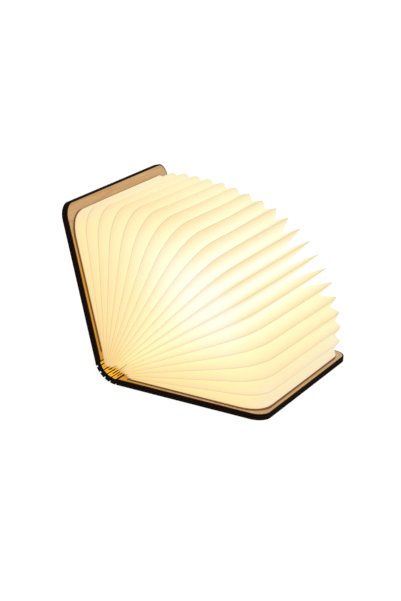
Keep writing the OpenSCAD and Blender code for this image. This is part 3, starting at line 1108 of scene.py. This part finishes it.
class BOOKLAMP_OT_light_bar(bpy.types.Operator):
    """Dresses the light bar, its boards and cell, the magnets and the charging socket"""

    bl_idname = "booklamp.light_bar"
    bl_label = "Light bar and socket"

    def execute(self, context):
        shell = moulded_plastic("white ABS, moulded", "#F1F0EA", 0.5, 0.3)
        milky = moulded_plastic("opal polycarbonate, moulded", "#FFF6DC", 0.4, 0.4, glow=0.8)
        mask = circuit_mask("green solder mask", "#2B6640", "#5F9A6C")
        led_mask = circuit_mask("white solder mask", "#F2F2EE", "#D9D9D2")
        phosphor = moulded_plastic("yellow phosphor silicone", "#FFDF73", 0.35, 0.1, glow=1.0)
        epoxy = moulded_plastic("black epoxy package", "#1B1B1C", 0.45, 0.08)
        foil = plated_metal("aluminium pouch foil", "#A9AEB5", 0.35, 0.2)
        nickel = plated_metal("nickel-plated neodymium", "#C9C7C2", 0.25, 0.1)
        steel = plated_metal("tinned steel", "#C3C5C8", 0.3, 0.08)
        film = moulded_plastic("amber polyimide film", "#C27A2C", 0.3, 0.5)
        finishes = {
            "light_base": shell,
            "socket_housing": shell,
            "light_cover": milky,
            "control_board": mask,
            "led_board": led_mask,
            "led_chips": phosphor,
            "hall_sensor": epoxy,
            "battery_cell": foil,
            "bottom_magnets": nickel,
            "top_magnets": nickel,
            "sensor_magnet": nickel,
            "board_screws": steel,
            "charge_socket": steel,
            "supply_flex": film,
        }
        for node, material in finishes.items():
            paint(frame["nodes"][node], material)
        return {"FINISHED"}


# The floor shows mostly its own white. The rest of it takes the lamp's soft contact shadow.
FLOOR_SIZE = 12
FLOOR_DROP = 0.3 * MM
FLOOR_GLOW = 1.13
FLOOR_SHARE = 0.8
WORLD_FILL = 0.62
KEY_AT = Vector((0.9, -1.1, 1.5))
KEY_TARGET = Vector((0, 0, 0.05))
KEY_SIZE = 1.6
KEY_POWER = 14


class BOOKLAMP_OT_stage(bpy.types.Operator):
    """Sets the pale floor, the plain soft light and the camera"""

    bl_idname = "booklamp.stage"
    bl_label = "Stage"

    def execute(self, context):
        props = context.scene.booklamp_stage
        scene = context.scene
        scene.view_settings.view_transform = "Standard"
        self.lay_floor(props)
        self.light_world(scene, props)
        self.hang_key()
        self.set_camera(scene, props)
        return {"FINISHED"}

    def lay_floor(self, props):
        clear_selection()
        bpy.ops.mesh.primitive_plane_add(size=FLOOR_SIZE, location=(0, 0, -FLOOR_DROP))
        floor = bpy.context.object
        floor.name = "stage_floor"
        material, tree = new_material("white seamless paper")
        diffuse = add_node(tree, "ShaderNodeBsdfDiffuse", {"Color": (*props.backdrop, 1)})
        white = add_node(
            tree, "ShaderNodeEmission", {"Color": (*props.backdrop, 1), "Strength": FLOOR_GLOW}
        )
        share = add_node(tree, MATH, {0: seen_directly(tree), 1: FLOOR_SHARE}, operation="MULTIPLY")
        mixed = add_node(
            tree,
            "ShaderNodeMixShader",
            {0: share.outputs[0], 1: diffuse.outputs[0], 2: white.outputs[0]},
        )
        add_node(tree, OUTPUT, {"Surface": mixed.outputs[0]})
        paint(floor, material)

    def light_world(self, scene, props):
        world = bpy.data.worlds.new("plain studio")
        world.use_nodes = True
        tree = world.node_tree
        tree.nodes.clear()
        fill = add_node(tree, "ShaderNodeBackground", {"Color": (1, 1, 1, 1), "Strength": WORLD_FILL})
        white = add_node(tree, "ShaderNodeBackground", {"Color": (*props.backdrop, 1), "Strength": 1.0})
        mixed = add_node(
            tree, "ShaderNodeMixShader", {0: seen_directly(tree), 1: fill.outputs[0], 2: white.outputs[0]}
        )
        add_node(tree, "ShaderNodeOutputWorld", {"Surface": mixed.outputs[0]})
        scene.world = world

    def hang_key(self):
        clear_selection()
        bpy.ops.object.light_add(type="AREA", location=KEY_AT)
        key = bpy.context.object
        key.name = "key_softbox"
        key.data.shape = "SQUARE"
        key.data.size = KEY_SIZE
        key.data.energy = KEY_POWER
        key.rotation_euler = (KEY_TARGET - KEY_AT).to_track_quat("-Z", "Y").to_euler()

    def set_camera(self, scene, props):
        heading, dip = math.radians(props.heading), math.radians(props.dip)
        forward = Vector(
            (-math.sin(heading) * math.cos(dip), math.cos(heading) * math.cos(dip), -math.sin(dip))
        )
        right = Vector((math.cos(heading), math.sin(heading), 0))
        up = right.cross(forward)
        turn = math.radians(props.roll)
        side = math.cos(turn) * right + math.sin(turn) * up
        top = -math.sin(turn) * right + math.cos(turn) * up
        clear_selection()
        bpy.ops.object.camera_add(location=props.eye)
        camera = bpy.context.object
        camera.name = "book_camera"
        camera.data.sensor_fit = "VERTICAL"
        camera.data.sensor_height = 24
        camera.data.lens = props.lens
        camera.data.clip_start = 0.05
        camera.matrix_world = Matrix.Translation(Vector(props.eye)) @ Matrix(
            (side, top, -forward)
        ).transposed().to_4x4()
        scene.camera = camera


class BOOKLAMP_PT_panel(bpy.types.Panel):
    """Lists the lamp's pieces"""

    bl_idname = "BOOKLAMP_PT_panel"
    bl_label = "Book Lamp"
    bl_space_type = "VIEW_3D"
    bl_region_type = "UI"
    bl_category = "Book Lamp"

    def draw(self, context):
        for group, operator in STEPS:
            box = self.layout.box()
            box.operator(operator)
            if group:
                props = getattr(context.scene, group)
                for key in props.bl_rna.properties.keys():
                    if key not in ("rna_type", "name"):
                        box.prop(props, key)


STEPS = [
    ("booklamp_covers", "booklamp.covers"),
    ("booklamp_spine", "booklamp.spine"),
    ("booklamp_pages", "booklamp.pages"),
    (None, "booklamp.light_bar"),
    ("booklamp_stage", "booklamp.stage"),
]

GROUPS = {
    "booklamp_covers": BOOKLAMP_PG_covers,
    "booklamp_spine": BOOKLAMP_PG_spine,
    "booklamp_pages": BOOKLAMP_PG_pages,
    "booklamp_stage": BOOKLAMP_PG_stage,
}

CLASSES = list(GROUPS.values()) + [
    BOOKLAMP_OT_covers,
    BOOKLAMP_OT_spine,
    BOOKLAMP_OT_pages,
    BOOKLAMP_OT_light_bar,
    BOOKLAMP_OT_stage,
    BOOKLAMP_PT_panel,
]


def register():
    for cls in CLASSES:
        bpy.utils.register_class(cls)
    for name, cls in GROUPS.items():
        setattr(bpy.types.Scene, name, PointerProperty(type=cls))


def unregister():
    for name in GROUPS:
        delattr(bpy.types.Scene, name)
    for cls in reversed(CLASSES):
        bpy.utils.unregister_class(cls)


def main():
    register()
    bpy.ops.booklamp.covers()
    bpy.ops.booklamp.spine()
    bpy.ops.booklamp.pages()
    bpy.ops.booklamp.light_bar()
    bpy.ops.booklamp.stage()


if __name__ == "__main__":
    main()
